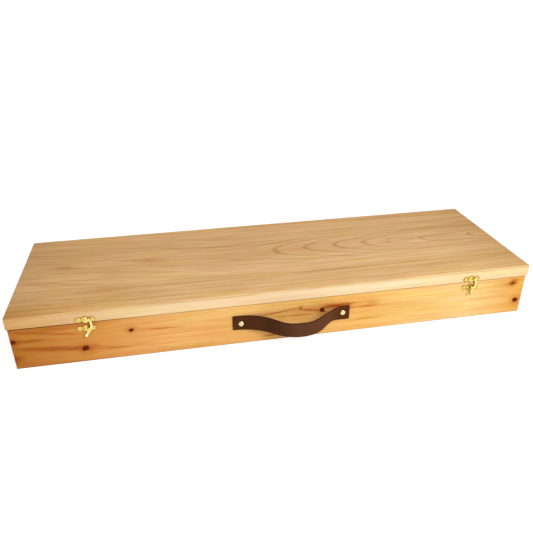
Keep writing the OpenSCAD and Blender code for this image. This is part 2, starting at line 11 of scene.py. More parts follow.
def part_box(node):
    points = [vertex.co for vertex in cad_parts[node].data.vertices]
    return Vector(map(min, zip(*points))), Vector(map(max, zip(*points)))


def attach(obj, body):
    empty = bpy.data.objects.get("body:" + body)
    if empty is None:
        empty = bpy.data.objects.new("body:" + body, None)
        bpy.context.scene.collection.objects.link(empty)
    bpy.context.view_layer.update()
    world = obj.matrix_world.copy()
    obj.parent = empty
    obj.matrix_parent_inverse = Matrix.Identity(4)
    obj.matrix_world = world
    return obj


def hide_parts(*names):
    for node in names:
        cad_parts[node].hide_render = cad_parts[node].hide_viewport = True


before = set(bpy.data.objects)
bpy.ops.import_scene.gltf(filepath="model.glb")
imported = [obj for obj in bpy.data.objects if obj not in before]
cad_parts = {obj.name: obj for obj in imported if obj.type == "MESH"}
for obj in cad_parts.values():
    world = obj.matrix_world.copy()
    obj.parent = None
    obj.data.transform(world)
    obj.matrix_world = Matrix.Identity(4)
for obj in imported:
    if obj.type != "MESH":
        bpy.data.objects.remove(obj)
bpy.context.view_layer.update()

MM = 0.001
SIDES = ("left", "right")
TOP_LOW, TOP_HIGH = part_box("lid_top_panel")
HALF_LENGTH = TOP_HIGH.x  # where the tones along a long board begin and end
HALF_WIDTH = -TOP_LOW.y  # where the tones across the top board begin and end


# Node tools

class Bench:
    """The node tree of one material or shader group, with short ways to add nodes to it."""

    def __init__(self, tree):
        self.tree = tree

    def feed(self, socket, value):
        """Links another node's socket, or sets a plain value."""
        if isinstance(value, bpy.types.NodeSocket):
            self.tree.links.new(value, socket)
        else:
            socket.default_value = value

    def node(self, kind, feeds=None, **settings):
        """A new shader node with its settings, and with feeds for its inputs by their name or number."""
        made = self.tree.nodes.new("ShaderNode" + kind)
        for name, value in settings.items():
            setattr(made, name, value)
        for name, value in (feeds or {}).items():
            self.feed(made.inputs[name], value)
        return made

    def math(self, operation, *values, clamp=False):
        made = self.node("Math", dict(enumerate(values)), operation=operation, use_clamp=clamp)
        return made.outputs[0]

    def plus(self, first, second):
        return self.math("ADD", first, second)

    def minus(self, first, second):
        return self.math("SUBTRACT", first, second)

    def times(self, first, second):
        return self.math("MULTIPLY", first, second)

    def over(self, first, second):
        return self.math("DIVIDE", first, second)

    def larger(self, first, second):
        return self.math("MAXIMUM", first, second)

    def smaller(self, first, second):
        return self.math("MINIMUM", first, second)

    def size(self, value):
        """The value without its sign."""
        return self.math("ABSOLUTE", value)

    def swing(self, cloud, reach, about=0.0):
        """Swings about a value as a cloudy noise does about 0.5, by the reach for each unit of noise."""
        return self.math("MULTIPLY_ADD", self.minus(cloud, 0.5), reach, about)

    def bell(self, distance, steepness=1.0):
        """1 in the middle and soft to 0: e to the minus steepness times the square of the distance."""
        return self.math("EXPONENT", self.times(self.times(distance, distance), -steepness))

    def vector(self, operation, *values):
        made = self.node("VectorMath", dict(enumerate(values)), operation=operation)
        return made.outputs["Value" if operation == "LENGTH" else "Vector"]

    def split(self, vector):
        return self.node("SeparateXYZ", {0: vector}).outputs

    def join(self, x, y, z):
        return self.node("CombineXYZ", {0: x, 1: y, 2: z}).outputs[0]

    def length(self, x, y):
        """Root of x squared plus y squared."""
        return self.vector("LENGTH", self.join(x, y, 0.0))

    def cells(self, place, x, y, z):
        """The place counted in noise cells, so many to the metre along each axis."""
        return self.vector("MULTIPLY", place, (x, y, z))

    def fade(self, value, start, end, low=0.0, high=1.0):
        """Runs softly from low to high while the value runs from start to end."""
        feeds = {0: value, 1: start, 2: end, 3: low, 4: high}
        return self.node("MapRange", feeds, interpolation_type="SMOOTHSTEP").outputs[0]

    def run(self, value, start, end, low=0.0, high=1.0):
        """Runs evenly from low to high while the value runs from start to end, and stays between them."""
        return self.node("MapRange", {0: value, 1: start, 2: end, 3: low, 4: high}).outputs[0]

    def noise(self, vector, detail=2.0, roughness=0.5):
        """Cloudy noise, about 0.5, with one cell to each unit of the vector."""
        feeds = {"Vector": vector, "Scale": 1.0, "Detail": detail, "Roughness": roughness}
        return self.node("TexNoise", feeds).outputs[0]

    def blend(self, share, first, second, kind="MIX"):
        """Two colours mixed by a share that shows the first at 0."""
        made = self.node("Mix", data_type="RGBA", blend_type=kind)
        for place, value in ((0, share), (6, first), (7, second)):
            self.feed(made.inputs[place], value)
        return made.outputs[2]

    def tint(self, share, colour, filter_colour):
        """The colour, turned by a share into its product with a filter's colour."""
        return self.blend(share, colour, self.blend(1.0, colour, (*filter_colour, 1.0), "MULTIPLY"))

    def ramp(self, value, stops, kind="LINEAR"):
        """Colours set out at places from 0 to 1."""
        made = self.node("ValToRGB", {0: value})
        band = made.color_ramp
        band.interpolation = kind
        while len(band.elements) < len(stops):
            band.elements.new(1.0)
        while len(band.elements) > len(stops):
            band.elements.remove(band.elements[-1])
        for element, (place, colour) in zip(band.elements, stops):
            element.position = place
            element.color = (*colour, 1.0)
        return made.outputs[0]

    def tones(self, value, half, stops, kind="LINEAR"):
        """Colours set out over a board's size, given as (place from its middle in millimetres, colour)."""
        share = self.run(value, -half, half)
        return self.ramp(share, [(0.5 + place * MM / half / 2, colour) for place, colour in stops], kind)

    def use(self, group, **values):
        """Places a shared group here with values of its own; an underscore stands for a space."""
        made = self.node("Group", node_tree=group)
        for name, value in values.items():
            self.feed(made.inputs[name.replace("_", " ")], value)
        return made.outputs


def shared_group(name, inputs, outputs):
    """Starts a shader group: its bench, its given inputs and a way to set its outputs by name."""
    group = bpy.data.node_groups.new(name, "ShaderNodeTree")
    for socket, default in inputs.items():
        kind = "Vector" if isinstance(default, tuple) else "Float"
        made = group.interface.new_socket(socket, in_out="INPUT", socket_type="NodeSocket" + kind)
        made.default_value = default
    for socket, kind in outputs.items():
        group.interface.new_socket(socket, in_out="OUTPUT", socket_type="NodeSocket" + kind)
    nodes = group.nodes
    return Bench(group), nodes.new("NodeGroupInput").outputs, nodes.new("NodeGroupOutput").inputs


def empty_bench(owner):
    """The emptied node tree of a new material or world."""
    owner.use_nodes = True
    owner.node_tree.nodes.clear()
    return Bench(owner.node_tree)


def new_material(name):
    """An empty material with its output and one Principled shader."""
    material = bpy.data.materials.new(name)
    bench = empty_bench(material)
    shader = bench.node("BsdfPrincipled")
    bench.node("OutputMaterial", {"Surface": shader.outputs[0]})
    return material, bench, shader


def own_place(bench):
    """The point on the piece in metres, which moves with the piece."""
    return bench.node("TexCoord").outputs["Object"]


def dress(nodes, material):
    """Puts a material on CAD nodes."""
    for node in nodes:
        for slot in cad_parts[node].material_slots:
            slot.material = material


def new_object(name, data):
    """An object in the scene for a mesh, a lamp or a camera."""
    made = bpy.data.objects.new(name, data)
    bpy.context.scene.collection.objects.link(made)
    return made


# Effects that several materials share

HERE = (0.0, 0.0, 0.0)


def make_ring_lines():
    """Growth rings: within each ring the wood darkens slowly into the late line and drops back sharply,
    and each ring has a depth of its own."""
    b, given, out = shared_group(
        "ring_lines", {"Ring": 0.0, "Line Start": 0.35}, {"Line": "Float", "Depth": "Float"})
    darkest = 0.9  # place in the ring, from 0 to 1
    part = b.math("FRACT", given["Ring"])
    rise = b.fade(part, given["Line Start"], darkest)
    drop = b.fade(part, darkest, 1.0, 1.0, 0.0)
    lottery = b.node("TexWhiteNoise", {"W": b.math("FLOOR", given["Ring"])}, noise_dimensions="1D")
    b.feed(out["Line"], b.times(rise, drop))
    b.feed(out["Depth"], lottery.outputs["Value"])
    return b.tree


def make_fibres():
    """Fibres along X: noise drawn out to a length and a width, once as streaks of that length and five
    times that width, and once as fine pores of that width and a third of that length."""
    b, given, out = shared_group(
        "fibres", {"Vector": HERE, "Length": 0.05, "Width": 0.001}, {"Fine": "Float", "Streak": "Float"})
    x, y, z = b.split(given["Vector"])
    along = b.over(x, given["Length"])
    through = b.over(y, given["Width"])
    across = b.over(z, given["Width"])
    pores = b.join(b.times(along, 3.0), through, across)
    streaks = b.join(along, b.times(through, 0.2), b.times(across, 0.2))
    b.feed(out["Fine"], b.noise(pores, 2.0, 0.6))
    b.feed(out["Streak"], b.noise(streaks, 3.0, 0.55))
    return b.tree


def make_patch():
    """A soft oval patch in the X-Z face of a board: e to the minus square of the distance from its
    sloping centre line, measured in its own half length and half height and made uneven by noise."""
    b, given, out = shared_group(
        "patch", {"Vector": HERE, "Centre": HERE, "Length": 0.03, "Height": 0.003, "Slope": 0.0},
        {"Patch": "Float"})
    x, _, level = b.split(b.vector("SUBTRACT", given["Vector"], given["Centre"]))
    z = b.minus(level, b.times(x, given["Slope"]))
    distance = b.length(b.over(x, given["Length"]), b.over(z, given["Height"]))
    wobble = b.noise(b.cells(given["Vector"], 60.0, 60.0, 260.0), 2.0)
    b.feed(out["Patch"], b.bell(b.times(distance, b.fade(wobble, 0.2, 0.8, 0.7, 1.3))))
    return b.tree


def make_knot():
    """A knot that runs through the board along Y. Core is 1 inside its uneven rim, Halo fades out over
    three radii, Rings is 1 on its own late lines, at its middle and just inside its rim, and Vector is the
    place with its height drawn towards the knot's middle, so that the grain opens round it."""
    b, given, out = shared_group(
        "knot", {"Vector": HERE, "Centre": HERE, "Length": 0.005, "Height": 0.004, "Bend": 0.8},
        {"Vector": "Vector", "Core": "Float", "Halo": "Float", "Rings": "Float"})
    x, _, z = b.split(b.vector("SUBTRACT", given["Vector"], given["Centre"]))
    distance = b.length(b.over(x, given["Length"]), b.over(z, given["Height"]))
    wobble = b.noise(b.cells(given["Vector"], 160.0, 160.0, 160.0), 3.0, 0.55)
    rim = b.plus(distance, b.fade(wobble, 0.25, 0.75, -0.14, 0.30))
    late_line_turn = 14.6  # radians of the rings' wave between the middle and the rim
    wave = b.math("COSINE", b.times(rim, late_line_turn))
    drawn = b.times(z, b.times(b.bell(distance, 0.16), given["Bend"]))
    b.feed(out["Core"], b.fade(rim, 0.82, 1.10, 1.0, 0.0))
    b.feed(out["Halo"], b.bell(rim, 0.3))
    b.feed(out["Rings"], b.run(wave, -1.0, 1.0))
    b.feed(out["Vector"], b.vector("SUBTRACT", given["Vector"], b.join(0.0, 0.0, drawn)))
    return b.tree


def make_edge_touch():
    """Where a board's arrises are handled and knocked: 1 on its edges and fading over an uneven reach.
    On a face of the box one distance to the six planes is nothing, so an edge is where the second
    smallest of the three is small."""
    b, given, out = shared_group(
        "edge_touch", {"Vector": HERE, "Low": (-1.0, -1.0, -1.0), "High": (1.0, 1.0, 1.0), "Reach": 0.002},
        {"Edge": "Float"})
    inward = b.vector(
        "MINIMUM", b.vector("ABSOLUTE", b.vector("SUBTRACT", given["Vector"], given["Low"])),
        b.vector("ABSOLUTE", b.vector("SUBTRACT", given["High"], given["Vector"])))
    x, y, z = b.split(inward)
    second = b.larger(b.smaller(x, y), b.smaller(b.larger(x, y), z))
    wear = b.noise(b.cells(given["Vector"], 90.0, 90.0, 90.0), 3.0, 0.6)
    reach = b.times(given["Reach"], b.fade(wear, 0.3, 0.75, 0.3, 1.6))
    b.feed(out["Edge"], b.fade(b.over(second, reach), 0.0, 1.0, 1.0, 0.0))
    return b.tree


def make_rubbed_and_glinting_metal():
    """Small brass and steel parts: Cloud is a patchwork of brighter and duller places of a given size,
    partly rubbed wear and partly painted highlight and dark reflection, Scratch is short fine lines, as
    from handling, many to each patch."""
    b, given, out = shared_group(
        "rubbed_and_glinting_metal", {"Vector": HERE, "Size": 0.004}, {"Cloud": "Float", "Scratch": "Float"})
    patches = b.vector("DIVIDE", given["Vector"], b.join(given["Size"], given["Size"], given["Size"]))
    scratches = b.vector("MULTIPLY", patches, (30.0, 30.0, 5.0))
    b.feed(out["Cloud"], b.noise(patches, 4.0, 0.65))
    b.feed(out["Scratch"], b.noise(scratches, 3.0, 0.7))
    return b.tree


def make_board_rings():
    """Rings on a sawn board: distance from the pith, which runs along X beside or under the board and
    wanders a little, divided by the ring width. Where it comes near a face, the rings open into arches."""
    b, given, out = shared_group(
        "board_rings",
        {"Vector": HERE, "Pith Y": 0.03, "Pith Z": -0.02, "Ring Width": 0.004, "Wander": 0.006, "Start": 0.0},
        {"Ring": "Float"})
    bends_per_metre = 2.6
    x, y, z = b.split(given["Vector"])
    slow = b.plus(b.times(x, bends_per_metre), given["Start"])
    sideways = b.noise(b.join(slow, 0.0, 0.0), 2.0, 0.4)
    upward = b.noise(b.join(slow, 7.0, 0.0), 2.0, 0.4)
    reach = b.times(given["Wander"], 2.0)
    pith_y = b.swing(sideways, reach, given["Pith Y"])
    pith_z = b.swing(upward, reach, given["Pith Z"])
    from_pith = b.length(b.minus(y, pith_y), b.minus(z, pith_z))
    grown = b.noise(b.cells(given["Vector"], 9.0, 70.0, 70.0), 3.0, 0.5)
    b.feed(out["Ring"], b.swing(grown, 0.9, b.over(from_pith, given["Ring Width"])))
    return b.tree


def make_bands():
    """Broad soft bands that run the length of a board, from 0 to 1: noise drawn out along X, whose lines
    drift a little across the board."""
    b, given, out = shared_group(
        "bands", {"Vector": HERE, "Length": 0.4, "Width": 0.012, "Start": 0.0}, {"Band": "Float"})
    x, y, z = b.split(given["Vector"])
    along = b.over(x, given["Length"])
    drift = b.noise(b.join(along, given["Start"], 3.0), 2.0, 0.4)
    through = b.over(y, given["Width"])
    across = b.math("MULTIPLY_ADD", drift, 1.5, b.over(z, given["Width"]))
    cloud = b.noise(b.join(b.plus(along, given["Start"]), through, across), 3.0, 0.6)
    b.feed(out["Band"], b.fade(cloud, 0.30, 0.70))
    return b.tree


RING_LINES = make_ring_lines()
FIBRES = make_fibres()
PATCH = make_patch()
KNOT = make_knot()
EDGE_TOUCH = make_edge_touch()
RUBBED_AND_GLINTING_METAL = make_rubbed_and_glinting_metal()
BOARD_RINGS = make_board_rings()
BANDS = make_bands()


def make_board_grain():
    """A sawn board's darkness from 0 to 1: late lines, broad bands, streaks and pores, each by a share of
    its own. Relief is the height that the late lines and pores leave in the planed face."""
    b, given, out = shared_group(
        "board_grain",
        {"Vector": HERE, "Ring": 0.0, "Line Start": 0.35, "Lines": 0.4, "Bands": 0.4, "Streaks": 0.3,
         "Pores": 0.2, "Fibre Length": 0.05, "Fibre Width": 0.001, "Band Length": 0.4, "Band Width": 0.012,
         "Start": 0.0},
        {"Shade": "Float", "Fine": "Float", "Relief": "Float"})
    place = given["Vector"]
    found = b.use(RING_LINES, Ring=given["Ring"], Line_Start=given["Line Start"])
    grain = b.use(FIBRES, Vector=place, Length=given["Fibre Length"], Width=given["Fibre Width"])
    broad = b.use(
        BANDS, Vector=place, Length=given["Band Length"], Width=given["Band Width"], Start=given["Start"])
    line = b.times(found["Line"], b.math("MULTIPLY_ADD", found["Depth"], 0.6, 0.4))
    streak = b.fade(grain["Streak"], 0.38, 0.66)
    pore = b.fade(grain["Fine"], 0.40, 0.72)
    shade = b.times(broad["Band"], given["Bands"])
    shade = b.math("MULTIPLY_ADD", line, given["Lines"], shade)
    shade = b.math("MULTIPLY_ADD", streak, given["Streaks"], shade)
    b.feed(out["Shade"], b.math("MULTIPLY_ADD", pore, given["Pores"], shade, clamp=True))
    b.feed(out["Fine"], grain["Fine"])
    b.feed(out["Relief"], b.math("MULTIPLY_ADD", grain["Fine"], 0.6, b.times(line, 0.4)))
    return b.tree


def make_hue_drift():
    """The slow drift of a board's hue along its grain, as a colour to multiply by: noise drawn out along X
    that turns the wood a little pinker or a little yellower."""
    b, given, out = shared_group("hue_drift", {"Vector": HERE, "Start": 0.0}, {"Colour": "Color"})
    pinker, unchanged, yellower = (1.0, 0.95, 0.93), (1.0, 1.0, 1.0), (0.96, 1.0, 0.84)
    x, y, z = b.split(b.cells(given["Vector"], 8.0, 42.0, 42.0))
    cloud = b.noise(b.join(b.plus(x, given["Start"]), y, z), 3.0, 0.6)
    b.feed(out["Colour"], b.ramp(cloud, [(0.36, pinker), (0.5, unchanged), (0.64, yellower)]))
    return b.tree


BOARD_GRAIN = make_board_grain()
HUE_DRIFT = make_hue_drift()


# Woods

# Places on a board are in millimetres, from the middle of the box or from the table upwards. Length and
# height are half sizes, and a slope is a rise per run.
Knot = namedtuple("Knot", "along across length height share")
Stain = namedtuple("Stain", "along across length height slope share")

KNOT_BROWN = (0.21, 0.030, 0.003)
KNOT_DARK = (0.06, 0.006, 0.001)
# Painted shadow: the dark line under the lid's overhang and round the front wall's foot
PAINTED_SHADOW_BROWN = (0.15, 0.045, 0.006)
HANDLED_REACH = 1.3 * MM
HIDDEN_RAIL_TONE = (0.92, 0.60, 0.28)


def turned(b, place, order):
    """The place in a board's own frame: first along its grain, then through it, then across its face."""
    axes = b.split(place)
    return b.join(*(axes["XYZ".index(letter)] for letter in order))


def tones_along(stops):
    """A board's colour from its left end to its right end, as listed."""
    def tone(b, place):
        return b.tones(b.split(place)[0], HALF_LENGTH, stops)
    return tone


def one_tone(colour):
    """A board of one colour from end to end."""
    return tones_along([(0, colour)])


def plain_rings(pith, width, wander, start):
    """Rings of a straight board. Its pith lies at (through, across) and wanders, and both of these and the
    rings' width are in millimetres. The start moves the wandering along."""
    def rings(b, place):
        return b.use(
            BOARD_RINGS, Vector=place, Pith_Y=pith[0] * MM, Pith_Z=pith[1] * MM, Ring_Width=width * MM,
            Wander=wander * MM, Start=start)["Ring"]
    return rings


def opened_by_knots(b, place, knots):
    """The place drawn round the knots, and the largest core, halo and dark ring of them all."""
    most = {}
    for knot in knots:
        found = b.use(
            KNOT, Vector=place, Centre=(knot.along * MM, 0.0, knot.across * MM), Length=knot.length * MM,
            Height=knot.height * MM)
        place = found["Vector"]
        core = b.times(found["Core"], knot.share)
        halo = b.times(found["Halo"], knot.share)
        for name, value in (("core", core), ("halo", halo), ("ring", b.times(core, found["Rings"]))):
            most[name] = b.larger(most[name], value) if name in most else value
    return place, most


def with_stains(b, colour, place, stains, stain):
    """The colour, turned inside each stain's patch towards its product with the stain's colour."""
    for spot in stains:
        patch = b.use(
            PATCH, Vector=place, Centre=(spot.along * MM, 0.0, spot.across * MM), Length=spot.length * MM,
            Height=spot.height * MM, Slope=spot.slope)["Patch"]
        colour = b.tint(b.times(patch, spot.share), colour, stain)
    return colour


def with_knots(b, colour, most, stain):
    """The colour with stained wood round each knot, and a knot's own browns inside its rim."""
    colour = b.tint(b.times(most["halo"], 0.8), colour, stain)
    return b.blend(most["core"], colour, b.ramp(most["ring"], [(0.0, KNOT_BROWN), (1.0, KNOT_DARK)]))


def painted_shadow_lines(b, own, low, high):
    """The share of painted shadow on the front wall: a line at the top of its front face, under the lid's
    overhang, and a contact shadow round its foot, both stronger towards the left end."""
    x, y, z = b.split(own)
    top = b.fade(b.size(b.minus(z, high.z)), 1.5 * MM, 2.7 * MM, 1.0, 0.0)
    top = b.times(top, b.fade(y, low.y + 0.2 * MM, low.y + 1.2 * MM, 1.0, 0.0))
    line = b.larger(top, b.fade(z, low.z + 0.9 * MM, low.z + 2.2 * MM, 0.8, 0.0))
    return b.times(line, b.fade(x, -420 * MM, -180 * MM, 1.0, 0.35))


def wooden(name, nodes, order, tone, rings, dark=(0.70, 0.45, 0.24), lines=0.5, line_start=0.35, bands=0.4,
           streaks=0.35, pores=0.25, fibre=(90.0, 0.7), band=(400.0, 12.0), start=0.0, knots=(), stains=(),
           stain=(0.62, 0.33, 0.16), edges=0.3, flow=None, joints=False):
    """A board's material. Late lines, broad bands, streaks and pores each take the board's tone towards
    its darker grain by their share. Stains and knots lie over that, and the arrises are darker where they
    are handled. Fibres and bands are given as (length, width), a flow bends the fibres, and where asked
    painted shadow lines are drawn where the board meets the lid and the table."""
    material, b, shader = new_material(name)
    own = own_place(b)
    flat_place = turned(b, own, order)
    place, most = opened_by_knots(b, flat_place, knots)
    grain = b.use(
        BOARD_GRAIN, Vector=flow(b, place) if flow else place, Ring=rings(b, place), Line_Start=line_start,
        Lines=lines(b, place) if callable(lines) else lines, Bands=bands, Streaks=streaks, Pores=pores,
        Fibre_Length=fibre[0] * MM, Fibre_Width=fibre[1] * MM, Band_Length=band[0] * MM,
        Band_Width=band[1] * MM, Start=start)
    hue = b.use(HUE_DRIFT, Vector=flat_place, Start=start + 5.0)["Colour"]
    colour = b.blend(1.0, tone(b, flat_place), hue, "MULTIPLY")
    colour = b.tint(grain["Shade"], colour, dark)
    colour = with_stains(b, colour, flat_place, stains, stain)
    if knots:
        colour = with_knots(b, colour, most, stain)
    low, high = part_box(nodes[0])
    edge = b.use(EDGE_TOUCH, Vector=own, Low=tuple(low), High=tuple(high), Reach=HANDLED_REACH)["Edge"]
    colour = b.tint(b.times(edge, edges), colour, dark)
    # Painted shadow lines under the lid's overhang and at the wall's foot
    if joints:
        colour = b.blend(painted_shadow_lines(b, own, low, high), colour, (*PAINTED_SHADOW_BROWN, 1.0))
    relief = b.minus(grain["Relief"], b.times(edge, 0.4))
    bump = b.node("Bump", {"Height": relief, "Strength": 0.35, "Distance": 0.12 * MM})
    b.feed(shader.inputs["Base Color"], colour)
    b.feed(shader.inputs["Roughness"], b.fade(grain["Fine"], 0.3, 0.7, 0.42, 0.58))
    b.feed(shader.inputs["Specular IOR Level"], 0.03)
    b.feed(shader.inputs["Normal"], bump.outputs[0])
    dress(nodes, material)


# Front wall

# Darker and redder towards the left end: partly the pine's own stain, partly painted shade
FRONT_ALONG = [
    (-430, (0.59, 0.235, 0.048)), (-300, (0.80, 0.38, 0.10)), (-180, (0.94, 0.57, 0.205)),
    (140, (0.94, 0.58, 0.18)), (330, (0.97, 0.71, 0.33)), (430, (0.86, 0.485, 0.11))]
FRONT_KNOTS = [
    Knot(-432, 50.4, 5.0, 4.0, 1.0),
    Knot(-326, 25.0, 6.5, 5.5, 1.0),
    Knot(-253, 49.4, 5.0, 3.5, 1.0),
    Knot(24, 57.0, 3.0, 2.5, 0.6),
    Knot(62, 48.0, 5.5, 4.6, 1.0),
    Knot(412, 61.0, 5.0, 4.0, 0.35),
    Knot(424, 24.5, 5.5, 5.0, 1.0)]
# Dark grain round the two knots behind the strap, and just right of it
SWIRL_STAINS = [
    Stain(88, 53.5, 30.0, 4.5, 0.0, 1.0),
    Stain(84, 54.5, 20.0, 2.6, 0.05, 0.9),
    Stain(100, 47.0, 14.0, 6.0, 0.0, 0.7),
    Stain(40, 51.0, 24.0, 2.4, -0.18, 0.9),
    Stain(30, 44.0, 34.0, 10.0, 0.0, 0.3),
    Stain(16, 43.5, 32.0, 1.3, -0.04, 0.8),
    Stain(-15, 52.5, 34.0, 1.7, 0.11, 0.9),
    Stain(-21, 10.0, 14.0, 3.0, 0.1, 0.9),
    Stain(136, 47.0, 30.0, 2.2, 0.0, 0.7),
    Stain(150, 52.0, 16.0, 8.0, 0.0, 0.4),
    Stain(140, 22.0, 28.0, 2.2, 0.0, 0.6)]
# Redder wood at the left end, and the streaks from there to the strap
LEFT_END_STAINS = [
    Stain(-436, 18.0, 14.0, 10.0, 0.0, 0.9),
    Stain(-405, 50.0, 26.0, 2.5, 0.0, 0.7),
    Stain(-385, 32.0, 58.0, 4.0, -0.10, 0.8),
    Stain(-378, 60.0, 50.0, 2.2, -0.16, 0.6),
    Stain(-365, 69.0, 70.0, 5.0, 0.0, 0.45),
    Stain(-345, 26.0, 36.0, 4.5, 0.0, 0.6),
    Stain(-278, 20.0, 34.0, 1.8, -0.05, 0.7),
    Stain(-205, 47.0, 32.0, 1.8, -0.05, 0.85),
    Stain(-160, 6.0, 110.0, 5.0, 0.0, 0.35)]
# Round the upper knot at the right end
RIGHT_END_STAINS = [
    Stain(400, 59.0, 20.0, 5.0, 0.0, 0.35),
    Stain(412, 61.0, 8.0, 6.0, 0.2, 0.9),
    Stain(413, 60.5, 6.0, 5.0, 0.2, 0.9)]


def finish_front_wall():
    """Knotty pine, redder and darker towards its left end, partly its own stain and partly painted shade,
    nearly plain on its right half, and with painted shadow lines under the lid and at its foot.
    """
    wooden(
        "front_pine", ["front_wall"], "XYZ", tones_along(FRONT_ALONG),
        plain_rings(pith=(34.0, -26.0), width=4.4, wander=7.0, start=3.0), dark=(0.78, 0.54, 0.34),
        lines=0.14, bands=0.26, streaks=0.28, pores=0.2, band=(220.0, 7.0), knots=FRONT_KNOTS,
        stains=SWIRL_STAINS + LEFT_END_STAINS + RIGHT_END_STAINS, stain=(0.66, 0.33, 0.14), joints=True)


# Other boards of the body

BACK_ALONG = [(-430, (0.80, 0.44, 0.16)), (0, (0.84, 0.48, 0.18)), (430, (0.82, 0.46, 0.17))]
END_TONE = (0.80, 0.43, 0.15)
CRADLE_TONE = (0.80, 0.50, 0.22)
PLY_TONE = (0.74, 0.47, 0.22)


def finish_body():
    """Pine of the front wall's kind on the back and the ends, paler pine on the cradles, and plywood."""
    wooden(
        "back_pine", ["back_wall"], "XYZ", tones_along(BACK_ALONG),
        plain_rings(pith=(-30.0, 96.0), width=4.6, wander=8.0, start=21.0), lines=0.35, start=20.0,
        knots=[
            Knot(-214, 31.0, 6.0, 4.6, 1.0),
            Knot(120, 52.0, 4.0, 3.2, 0.9),
            Knot(338, 20.0, 5.0, 4.0, 0.7)],
        stains=[
            Stain(-150, 30.0, 45.0, 3.0, 0.02, 0.4),
            Stain(180, 51.0, 40.0, 2.4, 0.0, 0.4)])
    end_knots = (Knot(52, 27.0, 4.6, 3.8, 0.9), Knot(-70, 48.0, 4.2, 3.4, 0.8))
    for side, start, knot in zip(SIDES, (40.0, 61.0), end_knots):
        wooden(
            side + "_end_pine", [side + "_end_wall"], "YXZ", one_tone(END_TONE),
            plain_rings(pith=(20.0, -30.0), width=4.2, wander=7.0, start=start), lines=0.35, start=start,
            knots=[knot])
    for k, node in enumerate(("grip_cradle", "handle_cradle", "head_cradle")):
        further = 13.0 * k
        wooden(
            node + "_pine", [node], "YXZ", one_tone(CRADLE_TONE),
            plain_rings(pith=(40.0, -20.0), width=4.0, wander=7.0, start=90.0 + further), lines=0.4,
            start=further)
    wooden(
        "bottom_ply", ["bottom_panel"], "XZY", one_tone(PLY_TONE),
        plain_rings(pith=(9.0, 20.0), width=3.0, wander=9.0, start=120.0), lines=0.25, streaks=0.2,
        pores=0.2, start=50.0)


# Lid's rails

# Darker towards the left end, partly the wood's own tone and partly painted shade
RAIL_ALONG = [
    (-430, (0.76, 0.44, 0.17)), (-230, (0.96, 0.72, 0.44)), (200, (0.95, 0.77, 0.50)),
    (430, (0.93, 0.70, 0.38))]


def finish_rails():
    """Pale straight-grained wood, plainest on the front rail."""
    wooden(
        "front_rail_wood", ["lid_front_rail"], "XYZ", tones_along(RAIL_ALONG),
        plain_rings(pith=(60.0, 40.0), width=3.2, wander=4.0, start=9.0), lines=0.10, bands=0.08,
        streaks=0.12, pores=0.12, edges=0.1)
    rails = (
        ("back", "XYZ", (-60.0, 50.0), 33.0),
        ("left", "YXZ", (50.0, 40.0), 50.0),
        ("right", "YXZ", (50.0, 40.0), 77.0))
    for side, order, pith, start in rails:
        wooden(
            side + "_rail_wood", ["lid_" + side + "_rail"], order, one_tone(HIDDEN_RAIL_TONE),
            plain_rings(pith=pith, width=3.2, wander=4.0, start=start), lines=0.2, bands=0.1, streaks=0.15,
            pores=0.15, start=start)


# Lid's top board, whose place is (along, height, across)

# Darker towards both ends, partly the board's own tone and partly painted shade
TOP_ALONG = [
    (-430, (0.76, 0.46, 0.215)), (-340, (0.89, 0.55, 0.25)), (-150, (0.93, 0.59, 0.30)),
    (100, (0.92, 0.59, 0.30)), (300, (0.925, 0.60, 0.305)), (430, (0.79, 0.49, 0.23))]
TOP_ACROSS = [
    (-133, (1.0, 1.0, 0.96)), (-100, (0.92, 0.91, 0.88)), (-50, (0.97, 0.98, 1.0)), (15, (0.95, 0.95, 0.99)),
    (60, (0.88, 0.86, 0.84)), (125, (0.93, 0.91, 0.90))]
TOP_SIDES_ALONG = [(-430, (0.92, 0.61, 0.30)), (0, (0.95, 0.72, 0.42)), (430, (0.94, 0.74, 0.40))]
# Where the arches' tips lie along the board, with the pith's depth there in rings
ARCH_TIPS = [
    (-436, 10.4), (-240, 10.0), (-190, 9.5), (-10, 9.2), (9, 8.9), (66, 7.9), (126, 6.9), (228, 4.9),
    (240, 4.6), (288, 4.1), (296, 3.9), (312, 3.6), (386, 3.1), (393, 2.9), (410, 2.6), (436, 2.5)]
DEEPEST = 14.0  # rings, at the top of the depth curve's own scale
RING_BEHIND = 7.0 * MM  # a ring's width behind the arches' axis
RING_BEFORE = 8.0 * MM  # and in front of it
SWEEP_FROM = -100 * MM
SWEEP_SLOPE = 0.12
# The two small eyes on the left half and the long lines round them
LEFT_TOP_STAINS = [
    Stain(-368, 15.0, 18.0, 7.0, -0.2, 0.75),
    Stain(-213, 13.0, 27.0, 7.0, -0.08, 0.7),
    Stain(-300, 33.0, 62.0, 2.2, 0.14, 0.6),
    Stain(-325, -11.0, 110.0, 2.4, -0.135, 0.75),
    Stain(-150, -26.0, 90.0, 2.4, -0.01, 0.5),
    Stain(-180, 31.0, 60.0, 2.2, 0.14, 0.45),
    Stain(-130, 0.0, 80.0, 2.2, -0.14, 0.45),
    Stain(-75, 43.0, 85.0, 3.0, -0.03, 0.55),
    Stain(-110, -72.0, 120.0, 3.0, 0.0, 0.45),
    Stain(-340, -66.0, 60.0, 5.0, 0.0, 0.35)]
